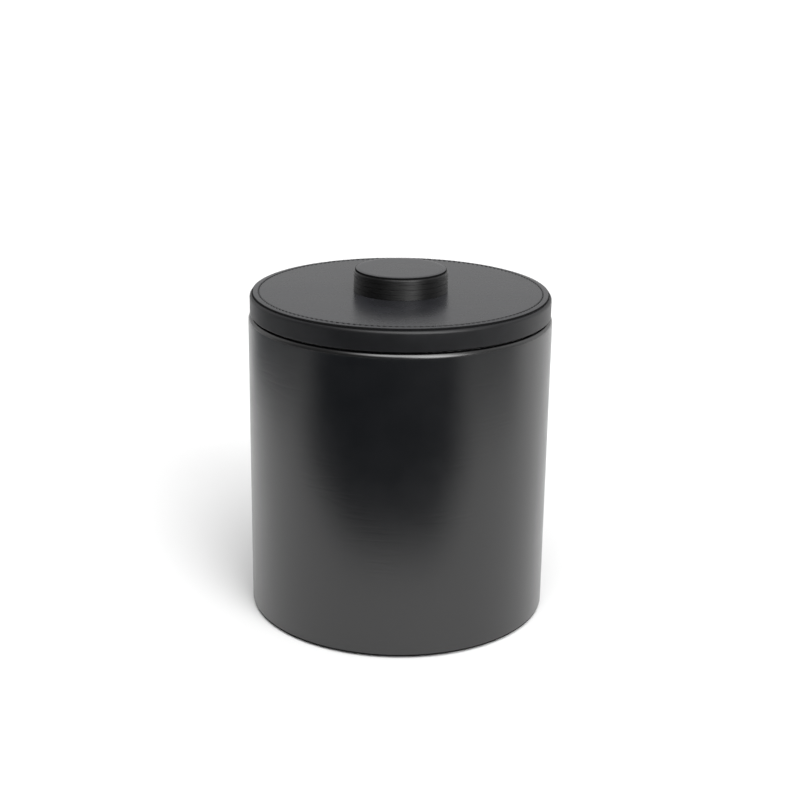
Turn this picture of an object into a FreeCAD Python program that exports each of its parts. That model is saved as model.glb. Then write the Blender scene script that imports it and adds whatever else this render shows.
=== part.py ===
"""Leather-covered ice bucket with a lift-off lid and a lift-out insulated steel liner.

The bucket is a wooden tube on a board base, sleeved in one leather wrap that turns in over the
rim and under the foot. A double-walled steel liner filled with foam hangs by its flange on the
leather rim. The lid is a wooden disc in a stitched leather cap, with a foam-filled steel plug
below and a knob of stacked leather discs above. One long screw clamps the whole lid.

Frame: +Z up, origin on the table at the centre of the foot, +Y towards the rear seam. Millimetres.
"""
import FreeCAD
import Part
import math
import os

# ---- Driving dimensions -------------------------------------------------------------------
BODY_RADIUS = 100.0        # outside of the side leather
RIM_HEIGHT = 202.0         # top of the leather rim
LEATHER = 1.4              # every leather skin
KNOB_RADIUS = 31.0
KNOB_LAYERS = 4
KNOB_LAYER_HEIGHT = 3.35
LINER_MOUTH_RADIUS = 81.8  # inside of the steel pot at its mouth

# ---- Bucket shell -------------------------------------------------------------------------
FOOT_PAD = 1.0             # suede pad below the turned-under leather
FOOT_PAD_RADIUS = 95.5
WALL_THICKNESS = 5.0
BOARD_THICKNESS = 8.0
RIM_OUTER_CORNER = 3.2     # rounding of the leather over the rim's outer edge
RIM_INNER_CORNER = 1.8
FOOT_CORNER = 1.6
TURN_IN_DEPTH = 14.0       # leather turned down inside the rim
TURN_UNDER_WIDTH = 12.0    # leather turned in below the foot
LINING = 0.8               # suede lining of the cavity wall
FLOOR_PAD = 1.0            # felt on the cavity floor
SEAM_GAP = 0.3             # butt joint of the wrap, at the rear
SEAM_ROW_OFFSET = 3.0      # each row of stitches beside the joint
THREAD_WIDTH = 0.8
THREAD_DEPTH = 0.5         # how deep the thread lies in the leather
THREAD_PROUD = 0.1
SEAM_END_MARGIN = 5.0

WALL_OUTER = BODY_RADIUS - LEATHER
WALL_INNER = WALL_OUTER - WALL_THICKNESS
WALL_BOTTOM = FOOT_PAD + LEATHER
WALL_TOP = RIM_HEIGHT - LEATHER
TURN_IN_RADIUS = WALL_INNER - LEATHER
TURN_UNDER_RADIUS = BODY_RADIUS - TURN_UNDER_WIDTH
BOARD_TOP = WALL_BOTTOM + BOARD_THICKNESS
LINING_TOP = RIM_HEIGHT - TURN_IN_DEPTH

# ---- Liner --------------------------------------------------------------------------------
STEEL = 0.8
JACKET_CLEARANCE = 0.8     # between the jacket and the turned-in leather
JACKET_LIFT = 0.6          # between the jacket and the cavity floor pad
FLOOR_INSULATION = 8.4
POT_FLOOR_CORNER = 14.0
POT_MOUTH_CORNER = 1.6
POT_DRAFT = 1.4            # the pot's floor is this much smaller in radius than its mouth
FLANGE_RADIUS = 95.6

FLANGE_TOP = RIM_HEIGHT + STEEL
JACKET_OUTER = TURN_IN_RADIUS - JACKET_CLEARANCE
JACKET_INNER = JACKET_OUTER - STEEL
JACKET_BOTTOM = BOARD_TOP + FLOOR_PAD + JACKET_LIFT
JACKET_FLOOR = JACKET_BOTTOM + STEEL
JACKET_CORNER = 5.0
POT_FLOOR_UNDERSIDE = JACKET_FLOOR + FLOOR_INSULATION
POT_FLOOR = POT_FLOOR_UNDERSIDE + STEEL
POT_FLOOR_RADIUS = LINER_MOUTH_RADIUS - POT_DRAFT

# ---- Lid ----------------------------------------------------------------------------------
LID_RADIUS = 99.0
LID_CORE_THICKNESS = 10.4
LID_UPPER_CORNER = 2.2
LID_LOWER_CORNER = 1.0
LID_TURN_OVER_RADIUS = 85.0   # where the side leather ends on the core's top
TOP_LEATHER_RADIUS = 97.5
TOP_EDGE_ROUND = 0.35
STITCH_RADIUS = 93.1
PLUG_RADIUS = 79.2
PLUG_DEPTH = 15.0             # plug below the flange of the liner
PLUG_CORNER = 6.0
PAN_FLANGE_RADIUS = 91.0
GASKET_LEAF = 0.6             # silicone between the pan's flange and the liner's
GASKET_LEAF_RADIUS = 90.0
GASKET_LIP_RADIUS = 81.4
GASKET_LIP_DROP = 5.0
GASKET_ROUND = 0.25

LID_BOTTOM = FLANGE_TOP
CORE_BOTTOM = LID_BOTTOM + LEATHER
CORE_TOP = CORE_BOTTOM + LID_CORE_THICKNESS
SKIN_TOP = CORE_TOP + LEATHER
LID_TOP = SKIN_TOP + LEATHER
CORE_RADIUS = LID_RADIUS - LEATHER
TURN_UNDER_LID_RADIUS = PAN_FLANGE_RADIUS + 0.4
PAN_BOTTOM = FLANGE_TOP - PLUG_DEPTH
PAN_FLOOR = PAN_BOTTOM + STEEL

# ---- Knob and its screw -------------------------------------------------------------------
KNOB_EDGE_ROUND = 0.35
KNOB_TOP_ROUND = 1.0          # upper edge of the stack
CAP_RADIUS = 29.9
CAP_EDGE_ROUND = 0.5
SCREW_RADIUS = 2.5            # M5
SCREW_HOLE_RADIUS = 2.8
SPACER_RADIUS = 5.0
SCREW_HEAD_RADIUS = 4.6
SCREW_HEAD_HEIGHT = 2.8
SCREW_SLOT_RADIUS = 1.45      # hexagon socket, across corners over two
SCREW_SLOT_DEPTH = 1.6
RUBBER_WASHER = 1.0
RUBBER_WASHER_RADIUS = 7.0
STEEL_WASHER = 1.0
STEEL_WASHER_RADIUS = 6.2
INSERT_FLANGE_RADIUS = 9.0
INSERT_FLANGE = 1.2
INSERT_BARREL_RADIUS = 3.6
INSERT_BORE_RADIUS = 2.55
INSERT_CLEARANCE = 0.1
INSERT_BOTTOM_MARGIN = 1.0
SCREW_TIP_MARGIN = 1.5

KNOB_TOP = LID_TOP + KNOB_LAYERS * KNOB_LAYER_HEIGHT
CAP_TOP = KNOB_TOP + LEATHER

AXIS = FreeCAD.Vector(0, 0, 1)
ORIGIN = FreeCAD.Vector(0, 0, 0)


# ---- Shape helpers ------------------------------------------------------------------------
def profile_point(radius, height):
    return FreeCAD.Vector(radius, 0, height)


def corner_round(before, corner, after, rounding):
    """Start, middle and end of the arc that rounds a corner and is tangent to both of its sides."""
    back = (before - corner).normalize()
    ahead = (after - corner).normalize()
    half_angle = back.getAngle(ahead) / 2
    reach = rounding / math.tan(half_angle)
    bisector = (back + ahead).normalize()
    centre = corner + bisector * (rounding / math.sin(half_angle))
    return corner + back * reach, centre - bisector * rounding, corner + ahead * reach


def rounded_face(corners):
    """Face in the XZ plane from (radius, height, rounding) corners."""
    points = [profile_point(r, z) for r, z, _ in corners]
    following = points[1:] + points[:1]
    rounds = [corner_round(points[i - 1], points[i], following[i], corners[i][2])
              for i in range(len(points))]
    edges = []
    for i, (start, middle, end) in enumerate(rounds):
        if corners[i][2]:
            edges.append(Part.Arc(start, middle, end).toShape())
        next_start = rounds[(i + 1) % len(rounds)][0]
        if end.distanceToPoint(next_start) > 1e-6:
            edges.append(Part.LineSegment(end, next_start).toShape())
    return Part.Face(Part.Wire(edges))


def turned(corners, angle=360.0):
    """Solid of revolution about Z of a profile of (radius, height, rounding) corners."""
    return rounded_face(corners).revolve(ORIGIN, AXIS, angle)


def ring(inner, outer, bottom, top, rounding=0.0):
    """Plain ring or disc. The rounding is on the outer edge at the top."""
    return turned([(inner, bottom, 0), (outer, bottom, 0), (outer, top, rounding), (inner, top, 0)])


def rear_strip(offset, width, outer, inner, bottom, top):
    """Upright strip across the rear of the bucket, its middle at the given offset along X."""
    return Part.makeBox(width, outer - inner, top - bottom,
                        FreeCAD.Vector(offset - width / 2, inner, bottom))


# ---- Bucket -------------------------------------------------------------------------------
def base_pad():
    return ring(0, FOOT_PAD_RADIUS, 0, FOOT_PAD)


def base_filler_card():
    return ring(0, TURN_UNDER_RADIUS, FOOT_PAD, WALL_BOTTOM)


def base_board():
    return ring(0, WALL_INNER, WALL_BOTTOM, BOARD_TOP)


def shell_wall():
    return turned([
        (WALL_INNER, WALL_BOTTOM, 0),
        (WALL_OUTER, WALL_BOTTOM, FOOT_CORNER - LEATHER),
        (WALL_OUTER, WALL_TOP, RIM_OUTER_CORNER - LEATHER),
        (WALL_INNER, WALL_TOP, RIM_INNER_CORNER - LEATHER),
    ])


def seam_threads(depth, proud):
    """The two rows of thread beside the rear butt joint, as straight strips."""
    bottom = FOOT_PAD + SEAM_END_MARGIN
    top = RIM_HEIGHT - SEAM_END_MARGIN
    surface = math.sqrt(BODY_RADIUS ** 2 - SEAM_ROW_OFFSET ** 2)
    return [rear_strip(side * SEAM_ROW_OFFSET, THREAD_WIDTH, surface + proud, surface - depth, bottom, top)
            for side in (-1, 1)]


def side_leather():
    """One wrap around the wall, open by a hair at the rear, where its two edges butt."""
    seam_angle = math.degrees(SEAM_GAP / BODY_RADIUS)
    wrap = turned([
        (TURN_IN_RADIUS, LINING_TOP, 0),
        (WALL_INNER, LINING_TOP, 0),
        (WALL_INNER, WALL_TOP, RIM_INNER_CORNER - LEATHER),
        (WALL_OUTER, WALL_TOP, RIM_OUTER_CORNER - LEATHER),
        (WALL_OUTER, WALL_BOTTOM, FOOT_CORNER - LEATHER),
        (TURN_UNDER_RADIUS, WALL_BOTTOM, 0),
        (TURN_UNDER_RADIUS, FOOT_PAD, 0),
        (BODY_RADIUS, FOOT_PAD, FOOT_CORNER),
        (BODY_RADIUS, RIM_HEIGHT, RIM_OUTER_CORNER),
        (TURN_IN_RADIUS, RIM_HEIGHT, RIM_INNER_CORNER),
    ], 360 - seam_angle)
    wrap.rotate(ORIGIN, AXIS, 90 + seam_angle / 2)
    return wrap.cut(Part.makeCompound(seam_threads(THREAD_DEPTH, LEATHER)))


def rear_seam_thread():
    return Part.makeCompound(seam_threads(THREAD_DEPTH, THREAD_PROUD))


def cavity_lining():
    return ring(WALL_INNER - LINING, WALL_INNER, BOARD_TOP, LINING_TOP)


def cavity_floor_pad():
    return ring(0, WALL_INNER - LINING, BOARD_TOP, BOARD_TOP + FLOOR_PAD)


# ---- Liner --------------------------------------------------------------------------------
def liner_pot():
    """Drawn steel pot with a rounded floor and a flat flange at its mouth."""
    return turned([
        (0, POT_FLOOR_UNDERSIDE, 0),
        (POT_FLOOR_RADIUS + STEEL, POT_FLOOR_UNDERSIDE, POT_FLOOR_CORNER + STEEL),
        (LINER_MOUTH_RADIUS + STEEL, RIM_HEIGHT, POT_MOUTH_CORNER),
        (FLANGE_RADIUS, RIM_HEIGHT, STEEL / 4),
        (FLANGE_RADIUS, FLANGE_TOP, STEEL / 4),
        (LINER_MOUTH_RADIUS, FLANGE_TOP, POT_MOUTH_CORNER + STEEL),
        (POT_FLOOR_RADIUS, POT_FLOOR, POT_FLOOR_CORNER),
        (0, POT_FLOOR, 0),
    ])


def liner_jacket():
    """Outer steel can, welded under the pot's flange."""
    return turned([
        (0, JACKET_BOTTOM, 0),
        (JACKET_OUTER, JACKET_BOTTOM, JACKET_CORNER),
        (JACKET_OUTER, RIM_HEIGHT, 0),
        (JACKET_INNER, RIM_HEIGHT, 0),
        (JACKET_INNER, JACKET_FLOOR, JACKET_CORNER - STEEL),
        (0, JACKET_FLOOR, 0),
    ])


def liner_foam_floor():
    """Foam disc between the two floors."""
    return turned([
        (0, JACKET_FLOOR, 0),
        (JACKET_INNER, JACKET_FLOOR, JACKET_CORNER - STEEL),
        (JACKET_INNER, POT_FLOOR_UNDERSIDE, 0),
        (0, POT_FLOOR_UNDERSIDE, 0),
    ])


def liner_foam_sleeve():
    """Foam between the two walls. It follows the pot's rounded floor corner."""
    filled = ring(0, JACKET_INNER, POT_FLOOR_UNDERSIDE, RIM_HEIGHT)
    pot_outside = turned([
        (0, POT_FLOOR_UNDERSIDE, 0),
        (POT_FLOOR_RADIUS + STEEL, POT_FLOOR_UNDERSIDE, POT_FLOOR_CORNER + STEEL),
        (LINER_MOUTH_RADIUS + STEEL, RIM_HEIGHT, POT_MOUTH_CORNER),
        (JACKET_INNER + 1, RIM_HEIGHT, 0),
        (JACKET_INNER + 1, RIM_HEIGHT + 1, 0),
        (0, RIM_HEIGHT + 1, 0),
    ])
    return filled.cut(pot_outside)


# ---- Lid ----------------------------------------------------------------------------------
def lid_core():
    return turned([
        (SCREW_HOLE_RADIUS, CORE_BOTTOM, 0),
        (CORE_RADIUS, CORE_BOTTOM, 0),
        (CORE_RADIUS, CORE_TOP, LID_UPPER_CORNER - LEATHER),
        (SCREW_HOLE_RADIUS, CORE_TOP, 0),
    ])


def lid_side_leather():
    """Band of the leather cap, turned over the core's top and under its bottom."""
    return turned([
        (TURN_UNDER_LID_RADIUS, LID_BOTTOM, 0),
        (LID_RADIUS, LID_BOTTOM, LID_LOWER_CORNER),
        (LID_RADIUS, SKIN_TOP, LID_UPPER_CORNER),
        (LID_TURN_OVER_RADIUS, SKIN_TOP, 0),
        (LID_TURN_OVER_RADIUS, CORE_TOP, 0),
        (CORE_RADIUS, CORE_TOP, LID_UPPER_CORNER - LEATHER),
        (CORE_RADIUS, CORE_BOTTOM, 0),
        (TURN_UNDER_LID_RADIUS, CORE_BOTTOM, 0),
    ])


def lid_filler_card():
    return ring(SCREW_HOLE_RADIUS, LID_TURN_OVER_RADIUS, CORE_TOP, SKIN_TOP)


def stitch_ring(top):
    return ring(STITCH_RADIUS - THREAD_WIDTH / 2, STITCH_RADIUS + THREAD_WIDTH / 2,
                LID_TOP - THREAD_DEPTH, top)


def lid_top_leather():
    disc = ring(SCREW_HOLE_RADIUS, TOP_LEATHER_RADIUS, SKIN_TOP, LID_TOP, TOP_EDGE_ROUND)
    return disc.cut(stitch_ring(LID_TOP + LEATHER))


def lid_stitching():
    return stitch_ring(LID_TOP + THREAD_PROUD)


def lid_pan():
    """Steel dish that plugs the liner's mouth. Its flange is clamped under the core."""
    return turned([
        (SCREW_HOLE_RADIUS, PAN_BOTTOM, 0),
        (PLUG_RADIUS, PAN_BOTTOM, PLUG_CORNER),
        (PLUG_RADIUS, CORE_BOTTOM - STEEL, 0),
        (PAN_FLANGE_RADIUS, CORE_BOTTOM - STEEL, 0),
        (PAN_FLANGE_RADIUS, CORE_BOTTOM, 0),
        (PLUG_RADIUS - STEEL, CORE_BOTTOM, 0),
        (PLUG_RADIUS - STEEL, PAN_FLOOR, PLUG_CORNER - STEEL),
        (SCREW_HOLE_RADIUS, PAN_FLOOR, 0),
    ])


def lid_foam():
    return turned([
        (SPACER_RADIUS, PAN_FLOOR, 0),
        (PLUG_RADIUS - STEEL, PAN_FLOOR, PLUG_CORNER - STEEL),
        (PLUG_RADIUS - STEEL, CORE_BOTTOM, 0),
        (SPACER_RADIUS, CORE_BOTTOM, 0),
    ])


def lid_gasket():
    """Silicone ring: a leaf between the two steel flanges and a lip down the plug's side."""
    return turned([
        (PLUG_RADIUS, LID_BOTTOM - GASKET_LIP_DROP, GASKET_ROUND),
        (GASKET_LIP_RADIUS, LID_BOTTOM - GASKET_LIP_DROP, GASKET_ROUND),
        (GASKET_LIP_RADIUS, LID_BOTTOM, GASKET_ROUND),
        (GASKET_LEAF_RADIUS, LID_BOTTOM, GASKET_ROUND),
        (GASKET_LEAF_RADIUS, LID_BOTTOM + GASKET_LEAF, 0),
        (PLUG_RADIUS, LID_BOTTOM + GASKET_LEAF, 0),
    ])


def screw_spacer():
    return ring(SCREW_HOLE_RADIUS, SPACER_RADIUS, PAN_FLOOR, CORE_BOTTOM)


def sealing_washer():
    return ring(SCREW_HOLE_RADIUS, RUBBER_WASHER_RADIUS, PAN_BOTTOM - RUBBER_WASHER, PAN_BOTTOM)


def steel_washer():
    top = PAN_BOTTOM - RUBBER_WASHER
    return ring(SCREW_HOLE_RADIUS, STEEL_WASHER_RADIUS, top - STEEL_WASHER, top)


def knob_screw():
    """Button-head screw with a hexagon socket, from below the plug up into the insert."""
    seat = PAN_BOTTOM - RUBBER_WASHER - STEEL_WASHER
    shank = Part.makeCylinder(SCREW_RADIUS, KNOB_TOP - SCREW_TIP_MARGIN - seat, profile_point(0, seat))
    head = turned([
        (0, seat - SCREW_HEAD_HEIGHT, 0),
        (SCREW_HEAD_RADIUS, seat - SCREW_HEAD_HEIGHT, SCREW_HEAD_HEIGHT * 0.8),
        (SCREW_HEAD_RADIUS, seat, 0),
        (0, seat, 0),
    ])
    corners = [FreeCAD.Vector(SCREW_SLOT_RADIUS * math.cos(math.radians(60 * i)),
                              SCREW_SLOT_RADIUS * math.sin(math.radians(60 * i)),
                              seat - SCREW_HEAD_HEIGHT) for i in range(7)]
    socket = Part.Face(Part.makePolygon(corners)).extrude(AXIS * SCREW_SLOT_DEPTH)
    return head.cut(socket).fuse(shank).removeSplitter()


# ---- Knob ---------------------------------------------------------------------------------
def knob_insert():
    """Threaded insert whose flange lies in the top layer, under the cap."""
    bottom = LID_TOP + INSERT_BOTTOM_MARGIN
    return turned([
        (INSERT_BORE_RADIUS, bottom, 0),
        (INSERT_BARREL_RADIUS, bottom, 0),
        (INSERT_BARREL_RADIUS, KNOB_TOP - INSERT_FLANGE, 0),
        (INSERT_FLANGE_RADIUS, KNOB_TOP - INSERT_FLANGE, 0),
        (INSERT_FLANGE_RADIUS, KNOB_TOP, 0),
        (INSERT_BORE_RADIUS, KNOB_TOP, 0),
    ])


def knob_layer(number):
    """One leather disc of the stack, bored for the insert. The top one also seats its flange."""
    bottom = LID_TOP + (number - 1) * KNOB_LAYER_HEIGHT
    top = bottom + KNOB_LAYER_HEIGHT
    bore = INSERT_BARREL_RADIUS + INSERT_CLEARANCE
    is_top = number == KNOB_LAYERS
    disc = turned([
        (bore, bottom, 0),
        (KNOB_RADIUS, bottom, KNOB_EDGE_ROUND),
        (KNOB_RADIUS, top, KNOB_TOP_ROUND if is_top else KNOB_EDGE_ROUND),
        (bore, top, 0),
    ])
    if is_top:
        seat = ring(0, INSERT_FLANGE_RADIUS + INSERT_CLEARANCE, KNOB_TOP - INSERT_FLANGE, KNOB_TOP + 1)
        disc = disc.cut(seat)
    return disc


def knob_cap():
    return ring(0, CAP_RADIUS, KNOB_TOP, CAP_TOP, CAP_EDGE_ROUND)


def build_nodes():
    makers = [
        base_pad, base_filler_card, base_board, shell_wall, side_leather, rear_seam_thread,
        cavity_lining, cavity_floor_pad,
        liner_pot, liner_jacket, liner_foam_floor, liner_foam_sleeve,
        lid_core, lid_side_leather, lid_filler_card, lid_top_leather, lid_stitching,
        lid_pan, lid_foam, lid_gasket, screw_spacer, sealing_washer, steel_washer, knob_screw,
        knob_insert, knob_cap,
    ]
    nodes = {maker.__name__: maker() for maker in makers}
    for number in range(1, KNOB_LAYERS + 1):
        nodes[f"knob_layer_{number}"] = knob_layer(number)
    return nodes


def main():
    os.makedirs("parts", exist_ok=True)
    for name, shape in build_nodes().items():
        solids = shape.Solids
        if not solids or not all(s.isValid() and s.Volume > 0 for s in solids):
            raise RuntimeError(f"{name} is not made of valid solids")
        shape.exportStep(f"parts/{name}.step")
        box = shape.BoundBox
        print(f"{name}: {len(solids)} solid(s), z {box.ZMin:.2f} to {box.ZMax:.2f}, {shape.Volume:.0f} mm3")


main()
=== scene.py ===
"""Leather ice bucket on a white studio floor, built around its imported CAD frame.

Every visible skin is turned or sewn here in mesh code: the leather with its rolled edges, its
seam and its stitches, and the steel, rubber and suede that show when the lid or the liner is
lifted. Radii and heights come from the CAD nodes. Metres, +Z up, +Y towards the rear seam.
"""
import math
import random

import bpy
import numpy as np
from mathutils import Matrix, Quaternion, Vector


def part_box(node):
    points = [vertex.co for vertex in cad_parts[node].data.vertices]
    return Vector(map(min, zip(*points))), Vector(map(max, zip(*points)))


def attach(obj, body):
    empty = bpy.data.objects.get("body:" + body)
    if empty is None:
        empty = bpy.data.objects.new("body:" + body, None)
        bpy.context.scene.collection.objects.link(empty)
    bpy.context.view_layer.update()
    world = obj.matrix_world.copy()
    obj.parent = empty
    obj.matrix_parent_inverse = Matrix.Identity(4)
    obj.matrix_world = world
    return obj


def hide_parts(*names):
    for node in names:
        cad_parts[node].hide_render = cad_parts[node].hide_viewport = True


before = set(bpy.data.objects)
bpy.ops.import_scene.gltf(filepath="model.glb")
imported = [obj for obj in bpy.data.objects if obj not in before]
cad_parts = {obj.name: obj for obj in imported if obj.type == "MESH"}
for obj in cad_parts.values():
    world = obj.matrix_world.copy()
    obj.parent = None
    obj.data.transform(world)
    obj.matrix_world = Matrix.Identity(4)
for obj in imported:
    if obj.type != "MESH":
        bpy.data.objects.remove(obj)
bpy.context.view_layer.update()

MM = 0.001
SEED = 7


# ---- Sizes read from the frame --------------------------------------------------------------
BOXES = {node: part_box(node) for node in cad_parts}


def radius(node):
    return BOXES[node][1].x


def bottom(node):
    return BOXES[node][0].z


def top(node):
    return BOXES[node][1].z


LEATHER = top("lid_top_leather") - bottom("lid_top_leather")
STEEL = top("liner_pot") - top("liner_jacket")


# ---- Outlines -------------------------------------------------------------------------------
def corner_arc(before, corner, after, rounding, turn_step):
    """Points of the arc that rounds a corner, or the corner itself where it is sharp."""
    if rounding == 0:
        return [corner]
    back = (before - corner).normalized()
    ahead = (after - corner).normalized()
    half = back.angle(ahead) / 2
    bisector = (back + ahead).normalized()
    centre = corner + bisector * (rounding / math.sin(half))
    start = corner + back * (rounding / math.tan(half)) - centre
    end = corner + ahead * (rounding / math.tan(half)) - centre
    sweep = math.pi - 2 * half
    count = max(2, math.ceil(sweep / turn_step))
    return [centre + start.slerp(end, i / count) * rounding for i in range(count + 1)]


def outline(corners, turn_step=math.radians(9), closed=True):
    """Points, and the material of the run after each, along (radius, height, rounding) corners.

    A corner may add the spacing of points on the run that follows it, and that run's material.
    """
    places = [Vector((c[0], c[1])) for c in corners]
    points, kinds = [], []
    for i, corner in enumerate(corners):
        before, after = places[i - 1], places[(i + 1) % len(places)]
        spacing = corner[3] if len(corner) > 3 else None
        kind = corner[4] if len(corner) > 4 else 0
        kind_before = corners[i - 1][4] if len(corners[i - 1]) > 4 else 0
        arc = corner_arc(before, places[i], after, corner[2], turn_step)
        points += arc
        kinds += [kind_before] * (len(arc) - 1) + [kind]
        if spacing and (closed or i < len(corners) - 1):
            following = corners[(i + 1) % len(corners)]
            beyond = places[(i + 2) % len(places)]
            stop = corner_arc(places[i], after, beyond, following[2], turn_step)[0]
            run = stop - arc[-1]
            count = math.ceil(run.length / spacing)
            points += [arc[-1] + run * (j / count) for j in range(1, count)]
            kinds += [kind] * (count - 1)
    return points, kinds


def outline_normals(points, closed):
    """Unit normals that point out of an outline drawn anticlockwise in (radius, height)."""
    normals = []
    last = len(points) - 1
    for i, point in enumerate(points):
        before = points[i - 1] if closed or i > 0 else point
        after = points[(i + 1) % len(points)] if closed or i < last else point
        along = after - before
        normals.append(Vector((along.y, -along.x)).normalized())
    return normals


# ---- Turned meshes --------------------------------------------------------------------------
REAR = math.pi / 2


def even_angles(count):
    """Columns evenly spaced around the axis, the first at the rear."""
    return [REAR + math.tau * i / count for i in range(count)]


def turned(name, shape, angles, relief=None, full_turn=True):
    """Mesh turned about Z from an outline. relief(angle, radius, height) lifts it off the outline.

    The outline is a closed section unless its ends lie on the axis. The UV map holds metres around
    and along the surface. Without a full turn, both ends of the sweep are closed with a face.
    """
    points, kinds = shape
    closed = points[0].x > 0 or points[-1].x > 0
    section = np.array([tuple(point) for point in points])
    normals = np.array([tuple(normal) for normal in outline_normals(points, closed)])
    steps = np.linalg.norm(np.roll(section, -1, axis=0) - section, axis=1)
    lengths = np.concatenate([[0.0], np.cumsum(steps)])
    angles = np.array(angles)
    columns, rows = len(angles), len(points)

    lift = np.zeros((columns, rows))
    if relief:
        lift = lift + relief(angles[:, None], section[None, :, 0], section[None, :, 1])
    radii = section[:, 0] + normals[:, 0] * lift
    heights = section[:, 1] + normals[:, 1] * lift
    turn = angles[:, None]
    vertices = np.stack([radii * np.cos(turn), radii * np.sin(turn), heights], axis=2).reshape(-1, 3)
    ids = np.arange(columns * rows).reshape(columns, rows)
    if not closed:
        ids[:, 0], ids[:, -1] = ids[0, 0], ids[0, -1]
    used, packed = np.unique(ids, return_inverse=True)
    ids, vertices = packed.reshape(columns, rows), vertices[used]

    here = np.arange(columns if full_turn else columns - 1)
    ahead = (here + 1) % columns
    around = np.append(angles, angles[0] + math.tau) - angles[0]
    around *= section[:, 0].max()
    faces, materials, uvs = [], [], []
    for j in range(rows if closed else rows - 1):
        up = (j + 1) % rows
        quads = np.stack([ids[here, j], ids[ahead, j], ids[ahead, up], ids[here, up]], axis=1)
        across = np.stack([around[here], around[here + 1], around[here + 1], around[here]], axis=1)
        along = np.array([lengths[j], lengths[j], lengths[j + 1], lengths[j + 1]]) + 0 * across
        kept = [0, 1, 2, 3]
        if not closed and j == 0:
            kept = [1, 2, 3]
        if not closed and j == rows - 2:
            kept = [0, 1, 2]
        faces += quads[:, kept].tolist()
        uvs.append(np.stack([across[:, kept], along[:, kept]], axis=2).reshape(-1, 2))
        materials += [kinds[j]] * len(here)
    if not full_turn:
        faces += [ids[0].tolist(), ids[-1][::-1].tolist()]
        uvs.append(np.zeros((2 * rows, 2)))
        materials += [0, 0]

    mesh = bpy.data.meshes.new(name)
    mesh.from_pydata(vertices.tolist(), [], faces)
    layer = mesh.uv_layers.new(name="surface")
    layer.data.foreach_set("uv", np.concatenate(uvs).astype(np.float32).ravel())
    mesh.polygons.foreach_set("material_index", materials)
    mesh.polygons.foreach_set("use_smooth", [True] * len(faces))
    mesh.update()
    return link(name, mesh)


def unevenness(x, y, z, size, seed):
    """Smooth random rise and fall between -1 and 1, its bumps about one size apart."""
    chance = random.Random(seed)
    waves = 10
    total = 0
    for _ in range(waves):
        heading = Vector([chance.gauss(0, 1) for _ in range(3)]).normalized()
        pitch = size * chance.uniform(0.9, 2.4)
        phase = chance.uniform(0, math.tau)
        total = total + np.sin(math.tau / pitch * (heading.x * x + heading.y * y + heading.z * z) + phase)
    return np.clip(total / waves * 2, -1, 1)


def sunk(angle, at_radius, height, size, amount, seed):
    """Unevenness of a turned surface as a lift from -amount to 0, so that nothing stands proud."""
    x, y = at_radius * np.cos(angle), at_radius * np.sin(angle)
    return amount * (unevenness(x, y, height, size, seed) - 1) / 2


def link(name, mesh):
    piece = bpy.data.objects.new(name, mesh)
    bpy.context.scene.collection.objects.link(piece)
    return piece


def install(piece, body, slot, materials, *nodes):
    """Gives a piece its materials and body, and lets it stand for CAD nodes. The slot is not used."""
    for material in materials:
        piece.data.materials.append(material)
    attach(piece, body)
    if nodes:
        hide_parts(*nodes)
    return piece


def sharpen(piece, degrees):
    """Keeps edges sharper than an angle crisp under smooth shading."""
    piece.data.set_sharp_from_angle(angle=math.radians(degrees))


# ---- Stitches -------------------------------------------------------------------------------
STITCH_PITCH = 3.7 * MM
STITCH_LENGTH = 2.5 * MM
THREAD_RADIUS = 0.36 * MM
STITCH_SLANT = 0.16 * MM
THREAD_PLIES = 3
THREAD_TWIST = 2.6               # half turns of the plies along one stitch
THREAD_PLY_DEPTH = 0.11          # share of the thread's radius lost between two plies
THREAD_RISE = 0.03 * MM          # middle of a stitch above the leather
THREAD_DIVE = 0.62 * MM          # drop of its ends into the holes
THREAD_TAPER = 0.22
GROOVE_DEPTH = 0.20 * MM
GROOVE_HALF_WIDTH = 0.52 * MM
HOLE_DEPTH = 0.42 * MM
HOLE_RADIUS = 0.34 * MM


def bell(distance, width):
    """1 at no distance, falling smoothly to nearly 0 at twice the width."""
    return np.exp(-(distance / width) ** 2)


def stitch_relief(along, across):
    """Depth of the sewn groove at a place along and across a row of stitches."""
    place = ((along / STITCH_PITCH) % 1 - 0.5) * STITCH_PITCH
    under_thread = 1 / (1 + np.exp((np.abs(place) - STITCH_LENGTH * 0.56) / (0.12 * MM)))
    groove = GROOVE_DEPTH * bell(across, GROOVE_HALF_WIDTH) * (0.45 + 0.55 * under_thread)
    side = np.sign(place)
    from_hole = np.hypot(place - side * STITCH_LENGTH / 2, across - side * STITCH_SLANT)
    return -groove - HOLE_DEPTH * bell(from_hole, HOLE_RADIUS)


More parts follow.
